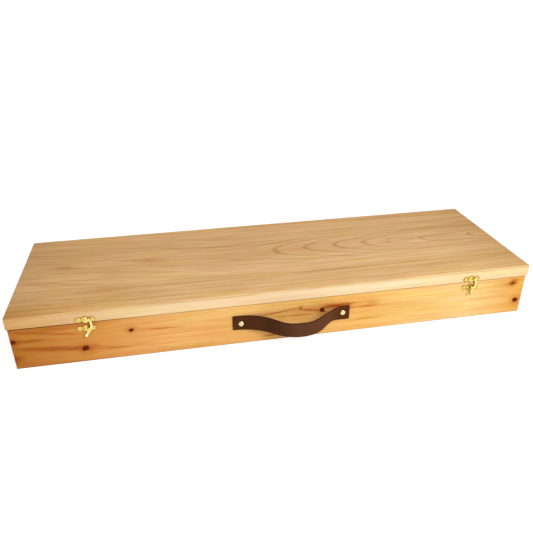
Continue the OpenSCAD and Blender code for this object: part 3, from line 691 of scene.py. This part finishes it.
# Darker wood along the front, the back, the middle and the ends
BROAD_TOP_STAINS = [
    Stain(-285, -90.0, 50.0, 30.0, 0.0, 0.3),
    Stain(350, -36.0, 130.0, 3.0, -0.02, 0.6),
    Stain(320, 46.0, 150.0, 6.0, 0.0, 0.4),
    Stain(120, -81.0, 420.0, 3.0, 0.0, 0.55),
    Stain(330, -92.0, 160.0, 8.0, 0.0, 0.25),
    Stain(200, 124.0, 330.0, 6.0, 0.0, 0.35),
    Stain(-430, -126.0, 115.0, 20.0, 0.0, 0.9),
    Stain(430, 20.0, 12.0, 140.0, 0.0, 0.15),
    Stain(-50, 6.0, 260.0, 22.0, 0.0, 0.45),
    Stain(250, 117.0, 120.0, 9.0, 0.0, 0.4)]


def left_of_sweep(b, x):
    """How far a place lies left of where the grain begins to sweep, as a length below nothing."""
    return b.smaller(b.minus(x, SWEEP_FROM), 0.0)


def swept_grain(b, place):
    """The top board's fibres. Left of where the sweep begins they come forwards towards the right, hardly
    in front and by the sweep's slope behind, so the place is drawn across the board by slope x way left."""
    x, y, z = b.split(place)
    slope = b.fade(z, -75 * MM, -20 * MM, 0.02, SWEEP_SLOPE)
    return b.join(x, y, b.math("MULTIPLY_ADD", left_of_sweep(b, x), slope, z))


def pith_depth(b, x):
    """The pith's depth under the top board in rings, along a smooth curve through the arches' tips."""
    depth = b.node("FloatCurve", {"Value": b.run(x, -HALF_LENGTH, HALF_LENGTH)})
    curve = depth.mapping.curves[0]
    for k, (along, rings) in enumerate(ARCH_TIPS):
        spot = (0.5 + along * MM / HALF_LENGTH / 2, rings / DEEPEST)
        if k < 2:
            curve.points[k].location = spot
        else:
            curve.points.new(*spot)
    depth.mapping.update()
    return b.times(depth.outputs[0], DEEPEST)


def arched_rings(b, place):
    """The top board's figure. The pith runs under the board at a depth of so many rings, which falls from
    left to right as the arches' tips do, and ring = root of (across squared + depth squared), with across
    in ring widths. Behind the arches the left half's grain sweeps forwards to them."""
    x, _, z = b.split(place)
    drift = b.noise(b.join(b.times(x, 2.2), 3.0, 0.0), 2.0, 0.4)
    axis = b.math("MULTIPLY_ADD", drift, 6.0 * MM, b.run(x, 120 * MM, 400 * MM, 7.0 * MM, 1.0 * MM))
    swept = b.times(left_of_sweep(b, x), b.fade(z, 18 * MM, 60 * MM, 0.0, SWEEP_SLOPE))
    across = b.minus(b.plus(z, swept), axis)
    rings_across = b.larger(b.over(across, RING_BEHIND), b.over(across, -RING_BEFORE))
    grown = b.noise(b.cells(place, 12.0, 60.0, 60.0), 3.0, 0.55)
    return b.swing(grown, 0.45, b.length(rings_across, pith_depth(b, x)))


def arch_lines(b, place):
    """How strongly the top board's late lines show: fully where the arches are, about half behind and in
    front of them on the left, and hardly on the rest. The arches' own lines fade out on the left."""
    x, _, z = b.split(place)
    arches = b.times(b.fade(z, -46 * MM, -34 * MM), b.fade(z, 46 * MM, 66 * MM, 1.0, 0.0))
    arches = b.times(arches, b.fade(x, -170 * MM, -40 * MM, 0.16, 1.0))
    behind = b.times(b.fade(x, -80 * MM, 60 * MM, 0.55, 0.0), b.fade(z, 20 * MM, 60 * MM))
    before = b.times(b.fade(x, -300 * MM, -150 * MM, 0.4, 0.0), b.fade(z, -75 * MM, -55 * MM))
    before = b.times(before, b.fade(z, -25 * MM, 0.0, 1.0, 0.0))
    faintest = 0.06
    return b.larger(b.larger(arches, b.larger(behind, before)), faintest)


def figured_tone(b, place):
    """The top board's colour: its tone from end to end, darker towards the ends partly as painted shade,
    times its tone from front to back. Its sides below the rounded arris are pale like the rails under them."""
    x, y, z = b.split(place)
    face = b.blend(
        1.0, b.tones(x, HALF_LENGTH, TOP_ALONG), b.tones(z, HALF_WIDTH, TOP_ACROSS, "EASE"), "MULTIPLY")
    below_arris = b.fade(y, TOP_HIGH.z - 1.2 * MM, TOP_HIGH.z - 0.2 * MM, 1.0, 0.0)
    above_underside = b.fade(y, TOP_LOW.z, TOP_LOW.z + 0.2 * MM)
    front_tone = b.tones(x, HALF_LENGTH, TOP_SIDES_ALONG)
    side_tone = b.blend(b.fade(z, 120 * MM, 130 * MM), front_tone, (*HIDDEN_RAIL_TONE, 1.0))
    return b.blend(b.times(below_arris, above_underside), face, side_tone)


def finish_top():
    """One broad board with arches on its right half and long fine lines on its left."""
    wooden(
        "figured_top", ["lid_top_panel"], "XZY", figured_tone, arched_rings, dark=(0.66, 0.58, 0.44),
        lines=arch_lines, flow=swept_grain, line_start=0.72, bands=0.24, streaks=0.46, pores=0.34,
        fibre=(110.0, 0.55), band=(260.0, 12.0), edges=0.12, stains=LEFT_TOP_STAINS + BROAD_TOP_STAINS,
        stain=(0.80, 0.66, 0.45))


# Metals

PLATE_LOBES = 10.0 * MM  # from a clasp plate's middle to the middles of its outer lobes
PLATE_LOBE_R = 4.7 * MM
PLATE_MIDDLE_R = 6.0 * MM
PLATE_SCREW_R = 2.2 * MM


def middle(node):
    """The middle of a CAD node's box."""
    low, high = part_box(node)
    return (low + high) / 2


def plate_painted_shade(b, own):
    """Where a clasp plate takes painted shade, from 0 to 1: along its outline, where the depth inside its
    three discs is small, and in a ring round each screw. The place is counted from the middle of the
    nearest of the four plates."""
    left, right = middle("left_clasp_plate"), middle("right_clasp_plate")
    lower = middle("left_catch_plate")
    x, _, z = b.split(own)
    on_right = b.math("GREATER_THAN", x, 0.0)
    on_upper = b.math("GREATER_THAN", z, (left.z + lower.z) / 2)
    x = b.minus(x, b.run(on_right, 0.0, 1.0, left.x, right.x))
    z = b.minus(z, b.run(on_upper, 0.0, 1.0, lower.z, left.z))
    from_screw = b.length(b.minus(b.size(x), PLATE_LOBES), z)
    inside = b.larger(b.minus(PLATE_LOBE_R, from_screw), b.minus(PLATE_MIDDLE_R, b.length(x, z)))
    off_ring = b.size(b.minus(from_screw, PLATE_SCREW_R))
    return b.larger(b.fade(inside, 0.0, 1.9 * MM, 1.0, 0.0), b.fade(off_ring, 0.0, 0.5 * MM, 0.8, 0.0))


def metal(name, nodes, tones, size, roughness, edge=None, outline_shade=None):
    """Polished or plated metal in three tones, in patches of a given size that are partly rubbed wear and
    partly painted highlight and dark reflection, with its roughness in the bright places and in the dull
    ones. Where an edge colour is given, faces that don't look to the front or the back take it as a
    painted dark reflection, and so does painted shade from a given mask."""
    material, b, shader = new_material(name)
    own = own_place(b)
    found = b.use(RUBBED_AND_GLINTING_METAL, Vector=own, Size=size)
    colour = b.ramp(found["Cloud"], list(zip((0.38, 0.52, 0.66), tones)))
    if edge:
        # Painted dark reflection on faces that don't look to the front or the back, and painted shade along
        # the plates' outlines
        facing = b.size(b.split(b.node("TexCoord").outputs["Normal"])[1])
        painted_dark = b.fade(facing, 0.35, 0.97, 1.0, 0.0)
        if outline_shade:
            painted_dark = b.larger(painted_dark, b.times(outline_shade(b, own), 0.9))
        colour = b.blend(painted_dark, colour, (*edge, 1.0))
    b.feed(shader.inputs["Base Color"], colour)
    b.feed(shader.inputs["Metallic"], 1.0)
    patchy = b.fade(found["Cloud"], 0.45, 0.75, *roughness)
    b.feed(shader.inputs["Roughness"], b.math("MULTIPLY_ADD", found["Scratch"], 0.10, patchy))
    bump = b.node("Bump", {"Height": found["Scratch"], "Strength": 0.15, "Distance": 0.03 * MM})
    b.feed(shader.inputs["Normal"], bump.outputs[0])
    dress(nodes, material)


def on_both_sides(*parts):
    """The names of a part's left and right nodes."""
    return [side + part for side in SIDES for part in parts]


def finish_metals():
    """Yellow brass on the clasps and hinges, paler brass on the strap's washers and screws, and bright
    steel on what is hidden inside. Each has its bright, middle and dull tone, partly rubbed wear; on the
    clasps and hooks the bright one is also painted highlight and the dull one painted dark reflection."""
    # Painted dark reflection and shade for the side faces of clasps, hooks and washers and the plates'
    # outlines
    brass_painted_dark = (0.38, 0.19, 0.005)
    washer_painted_dark = (0.42, 0.30, 0.12)
    # The bright tones of clasps and hooks are partly painted highlight, the dull ones partly painted dark
    # reflection
    clasp_tones = ((0.95, 0.86, 0.38), (0.80, 0.60, 0.12), (0.58, 0.36, 0.04))
    hook_tones = ((0.97, 0.92, 0.48), (0.92, 0.78, 0.24), (0.74, 0.54, 0.10))
    hinge_tones = ((0.88, 0.72, 0.26), (0.80, 0.60, 0.15), (0.58, 0.38, 0.06))
    washer_tones = ((0.94, 0.88, 0.60), (0.84, 0.74, 0.42), (0.66, 0.52, 0.24))
    steel_tones = ((0.68, 0.69, 0.70), (0.58, 0.59, 0.60), (0.40, 0.39, 0.37))
    plates = on_both_sides("_clasp_plate", "_catch_plate")
    heads = on_both_sides("_pivot_rivet", "_catch_stud") + ["clasp_plate_screws", "catch_plate_screws"]
    hinges = on_both_sides("_hinge_body_leaf", "_hinge_lid_leaf", "_hinge_pin")
    hinges += ["hinge_body_screws", "hinge_lid_screws"]
    washers = ["strap_cup_washers", "strap_screws"]
    hidden = ["bottom_brads", "strap_backing_washers", "strap_nuts"]
    hooks = on_both_sides("_hook")
    metal(
        "plate_brass", plates, clasp_tones, 4.0 * MM, roughness=(0.20, 0.34), edge=brass_painted_dark,
        outline_shade=plate_painted_shade)
    metal("head_brass", heads, clasp_tones, 2.0 * MM, roughness=(0.18, 0.30), edge=brass_painted_dark)
    metal("hook_brass", hooks, hook_tones, 5.0 * MM, roughness=(0.16, 0.28), edge=brass_painted_dark)
    metal("hinge_brass", hinges, hinge_tones, 4.0 * MM, roughness=(0.22, 0.36))
    metal("washer_brass", washers, washer_tones, 4.0 * MM, roughness=(0.20, 0.32), edge=washer_painted_dark)
    metal("zinc_steel", hidden, steel_tones, 3.0 * MM, roughness=(0.28, 0.45))


# Strap, in millimetres

STRAP_LOW, STRAP_HIGH = (np.array(corner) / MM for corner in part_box("handle_strap"))
WASHERS_LOW, WASHERS_HIGH = (np.array(corner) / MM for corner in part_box("strap_cup_washers"))
STRAP_THICK = 3.0
STRAP_WIDE = STRAP_HIGH[2] - STRAP_LOW[2]
STRAP_MID_Z = (STRAP_HIGH[2] + STRAP_LOW[2]) / 2
STRAP_BOW = STRAP_HIGH[1] - STRAP_LOW[1] - STRAP_THICK
STRAP_TILT = -0.0125  # rise of the leather from left to right: it is screwed on a little out of level
STRAP_ARRIS = 0.9
STRAP_CORNER = 1.5
WALL_Y = STRAP_HIGH[1]
CUP_RADIUS = 4.7
FIXING_XS = (WASHERS_LOW[0] + CUP_RADIUS, WASHERS_HIGH[0] - CUP_RADIUS)
HELD_RADIUS = CUP_RADIUS + 0.2
EASING = 4.0  # width of the ring outside the held leather in which the hold eases off


def strap_runs(first, slopes, feet, crests, flat):
    """One edge of the strap as seen from above, as (length, turn in degrees) from its left end to its
    right: flat on the wall, out over a foot and a flank to the crest, and back to the wall. First and flat
    are the lengths on the wall at the left and on the crest. Slopes, feet and crests are the degrees and
    the bend radii of the left and the right flank."""
    def flank(slope, radii):
        angle = math.radians(slope)
        return (STRAP_BOW - radii * (1.0 - math.cos(angle))) / math.sin(angle)

    def bend(radius, degrees):
        return (radius * math.radians(abs(degrees)), degrees)

    runs = [
        (first, 0.0), bend(feet[0], -slopes[0]), (flank(slopes[0], feet[0] + crests[0]), 0.0),
        bend(crests[0], slopes[0]), (flat, 0.0), bend(crests[1], slopes[1]),
        (flank(slopes[1], feet[1] + crests[1]), 0.0), bend(feet[1], -slopes[1])]
    reached, turned_by = STRAP_LOW[0], 0.0
    count = 400
    steps = (np.arange(count) + 0.5) / count
    for length, degrees in runs:
        reached += length / count * np.cos(np.radians(turned_by + degrees * steps)).sum()
        turned_by += degrees
    return runs + [(STRAP_HIGH[0] - reached, 0.0)]


def edge_line(runs, count):
    """So many points along one edge, with the way to each and its heading, by adding up short steps whose
    heading changes evenly over each bend."""
    ends = np.cumsum([0.0] + [length for length, _ in runs])
    turns = np.radians(np.cumsum([0.0] + [degrees for _, degrees in runs]))
    way = np.linspace(0.0, ends[-1], count)
    heading = np.interp(way, ends, turns)
    half = np.interp((way[1:] + way[:-1]) / 2, ends, turns)
    move = np.diff(way)
    x = STRAP_LOW[0] + np.concatenate([[0.0], np.cumsum(move * np.cos(half))])
    y = WALL_Y - STRAP_THICK / 2 + np.concatenate([[0.0], np.cumsum(move * np.sin(half))])
    return way, x, y, heading


def strap_section():
    """The strap's section, a flat run on each face and a half round at each edge, as points in order round
    it. Across runs from -1 to 1 over a flat run. Out and up are the way from an arris's middle in its
    radii. The second half is the first one turned half a circle."""
    flat = np.linspace(-1.0, 1.0, 27)
    quarter = np.radians(np.linspace(0.0, 90.0, 6))[1:-1]
    side_out = np.concatenate([np.sin(quarter), [1.0], np.sin(quarter)[::-1]])
    side_up = np.concatenate([np.cos(quarter), [0.0], -np.cos(quarter)[::-1]])
    across = np.concatenate([flat, np.ones(side_out.size)])
    out = np.concatenate([np.zeros(flat.size), side_out])
    up = np.concatenate([np.ones(flat.size), side_up])
    half = np.stack([across, out, up])
    return np.concatenate([half, -half], 1)


def pressed_by_washers(x, y, z, front):
    """The front face's Y, held at the thickness of flat leather under each washer. Outside that the hold
    eases off as 3 t squared - 2 t cubed, with t from 0 to 1 over the easing's width."""
    seat = WALL_Y - STRAP_THICK
    near_washer = 12.0
    for fixing in FIXING_XS:
        reach = np.hypot(x - fixing, z + STRAP_TILT * (fixing - np.mean(FIXING_XS)))
        ease = np.clip((reach - HELD_RADIUS) / EASING, 0.0, 1.0)
        ease = ease * ease * (3.0 - 2.0 * ease)
        held = (reach < near_washer) & front[None, :] & (y < seat)
        y = np.where(held, seat + (y - seat) * ease, y)
    return y


def make_strap():
    """Thick leather ruled between two lines, one for its upper and one for its lower edge, which bow out a
    little differently, as hand-bent leather does. Towards each end its width and thickness shrink by the
    depth of a quarter round, radius - root of (radius squared - way inside squared)."""
    count = 481
    upper_runs = strap_runs(first=12.0, slopes=(42.0, 35.0), feet=(80.0, 12.0), crests=(45.0, 45.0), flat=8.0)
    lower_runs = strap_runs(first=3.0, slopes=(38.0, 46.0), feet=(95.0, 26.0), crests=(62.0, 54.0), flat=2.0)
    upper = edge_line(upper_runs, count)
    lower = edge_line(lower_runs, count)
    across, out, up = strap_section()
    way = (upper[0] + lower[0]) / 2
    to_end = np.minimum(way, way[-1] - way)

    def shrink(radius):
        inside = np.clip(radius - to_end, 0.0, radius)
        return radius - np.sqrt(radius ** 2 - inside ** 2)

    half_wide = (STRAP_WIDE / 2 - STRAP_ARRIS - shrink(STRAP_CORNER))[:, None]
    half_thick = (STRAP_THICK / 2 - STRAP_ARRIS - shrink(STRAP_ARRIS))[:, None]
    z = across * half_wide + out * STRAP_ARRIS
    off = np.sign(up) * half_thick + up * STRAP_ARRIS
    share = 0.5 + z / STRAP_WIDE
    x, y, heading = (
        low[:, None] * (1.0 - share) + high[:, None] * share for low, high in zip(lower[1:], upper[1:]))
    place_x = x + off * np.sin(heading)
    place_y = pressed_by_washers(place_x, y - off * np.cos(heading), z, up > 0.5)
    place_z = z + STRAP_MID_Z + STRAP_TILT * (x - np.mean(FIXING_XS))
    return closed_tube("leather_strap", np.stack([place_x, place_y, place_z], -1) * MM)


def closed_tube(name, points):
    """An object from rows of points, each row once round the section, with a face over each end."""
    rows, columns = points.shape[:2]
    index = np.arange(rows * columns).reshape(rows, columns)
    after = np.roll(index, -1, 1)
    faces = np.stack([index[:-1], index[1:], after[1:], after[:-1]], -1).reshape(-1, 4)
    ends = [index[0].tolist(), index[-1][::-1].tolist()]
    mesh = bpy.data.meshes.new(name)
    mesh.from_pydata(points.reshape(-1, 3), [], faces.tolist() + ends)
    mesh.shade_smooth()
    return new_object(name, mesh)


def leather():
    """Dark brown leather: fine pebbled hide, soft wrinkles across the bends and darker burnished edges."""
    material, b, shader = new_material("brown_leather")
    burnished = (0.045, 0.015, 0.009)
    own = own_place(b)
    x, _, z = b.split(own)
    pebbles = b.node("TexVoronoi", {"Vector": own, "Scale": 1100.0}, feature="DISTANCE_TO_EDGE").outputs[0]
    wrinkle = b.noise(b.cells(own, 520.0, 300.0, 70.0), 3.0)
    cloud = b.noise(b.cells(own, 45.0, 45.0, 45.0), 3.0, 0.6)
    tone = b.ramp(b.run(x, STRAP_LOW[0] * MM, STRAP_HIGH[0] * MM), [
        (0.0, (0.092, 0.029, 0.007)), (0.32, (0.074, 0.023, 0.008)), (0.52, (0.118, 0.045, 0.021)),
        (0.78, (0.122, 0.038, 0.010)), (1.0, (0.100, 0.028, 0.004))])
    tone = b.tint(b.fade(cloud, 0.3, 0.7, 1.0, 0.0), tone, (0.84, 0.82, 0.80))
    from_middle = b.size(b.minus(z, STRAP_MID_Z * MM))
    burnish = b.fade(from_middle, (STRAP_WIDE / 2 - 1.8) * MM, (STRAP_WIDE / 2 - 0.2) * MM)
    b.feed(shader.inputs["Base Color"], b.blend(b.times(burnish, 0.7), tone, (*burnished, 1.0)))
    b.feed(shader.inputs["Roughness"], b.fade(cloud, 0.3, 0.7, 0.46, 0.60))
    b.feed(shader.inputs["Specular IOR Level"], 0.05)
    height = b.math("MULTIPLY_ADD", b.fade(pebbles, 0.0, 0.25), 0.5, b.times(wrinkle, 0.8))
    bump = b.node("Bump", {"Height": height, "Strength": 0.4, "Distance": 0.12 * MM})
    b.feed(shader.inputs["Normal"], bump.outputs[0])
    return material


# Stage

WHITE = (1.0, 1.0, 1.0, 1.0)


def seen_as_backdrop(b):
    """1 for the camera's own view and for what metal or glass shows, 0 where a surface gathers light."""
    path = b.node("LightPath").outputs
    return b.larger(path["Is Camera Ray"], b.larger(path["Is Glossy Ray"], path["Is Transmission Ray"]))


def make_floor():
    """A floor just under the box. It lights the box as a pale grey floor does. To the camera it shows a
    darker grey with a glow of its own, which together are white but for the box's soft shadow."""
    half, level = 60.0, -0.2 * MM
    corners = [(x * half, y * half, level) for x, y in ((-1, -1), (1, -1), (1, 1), (-1, 1))]
    mesh = bpy.data.meshes.new("floor")
    mesh.from_pydata(corners, [], [(0, 1, 2, 3)])
    floor = new_object("floor", mesh)
    material = bpy.data.materials.new("floor_white")
    b = empty_bench(material)
    lit = b.node("BsdfDiffuse", {"Color": (0.75, 0.75, 0.75, 1.0)})
    shown = b.node("BsdfDiffuse", {"Color": (0.42, 0.42, 0.42, 1.0)})
    glow = b.node("Emission", {"Color": WHITE, "Strength": 0.76})
    both = b.node("AddShader", {0: shown.outputs[0], 1: glow.outputs[0]})
    mixed = b.node("MixShader", {0: seen_as_backdrop(b), 1: lit.outputs[0], 2: both.outputs[0]})
    b.node("OutputMaterial", {"Surface": mixed.outputs[0]})
    mesh.materials.append(material)


def make_surround():
    """A white surround, dimmer as a light than as a backdrop."""
    world = bpy.data.worlds.new("surround")
    bpy.context.scene.world = world
    b = empty_bench(world)
    room = b.node("Background", {"Color": WHITE, "Strength": 0.62})
    white = b.node("Background", {"Color": WHITE, "Strength": 1.0})
    mixed = b.node("MixShader", {0: seen_as_backdrop(b), 1: room.outputs[0], 2: white.outputs[0]})
    b.node("OutputWorld", {"Surface": mixed.outputs[0]})


def add_softbox(name, at, towards, size, power):
    """A round soft lamp with its beam along the line from one point to another."""
    lamp = bpy.data.lights.new(name, "AREA")
    lamp.shape = "DISK"
    lamp.size = size
    lamp.energy = power
    turn = (Vector(towards) - Vector(at)).to_track_quat("-Z", "Y")
    new_object(name, lamp).matrix_world = Matrix.Translation(at) @ turn.to_matrix().to_4x4()


CAMERA_AT = (-0.17672, -0.89976, 0.54955)
CAMERA_LENS = 37.587
CAMERA_RIGHT, CAMERA_DOWN, CAMERA_ROLL = (math.radians(degrees) for degrees in (10.651, 27.713, -0.421))


def set_camera():
    """The camera where the photograph's stood: left of the middle and well above the box, turned to the
    right, looking down and slightly rolled."""
    lens = bpy.data.cameras.new("camera")
    lens.lens = CAMERA_LENS
    lens.sensor_width = 36.0
    lens.clip_end = 200.0
    camera = new_object("camera", lens)
    camera.matrix_world = (
        Matrix.Translation(CAMERA_AT)
        @ Matrix.Rotation(-CAMERA_RIGHT, 4, "Z")
        @ Matrix.Rotation(math.pi / 2 - CAMERA_DOWN, 4, "X")
        @ Matrix.Rotation(CAMERA_ROLL, 4, "Z"))
    bpy.context.scene.camera = camera


finish_front_wall()
finish_body()
finish_rails()
finish_top()
finish_metals()
strap = make_strap()
strap.data.materials.append(leather())
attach(strap, "case")
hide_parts("handle_strap")
make_floor()
make_surround()
add_softbox("key_softbox", at=(0.55, -1.35, 1.15), towards=(0.1, -0.1, 0.05), size=0.9, power=17.0)
set_camera()
bpy.context.scene.view_settings.view_transform = "Standard"
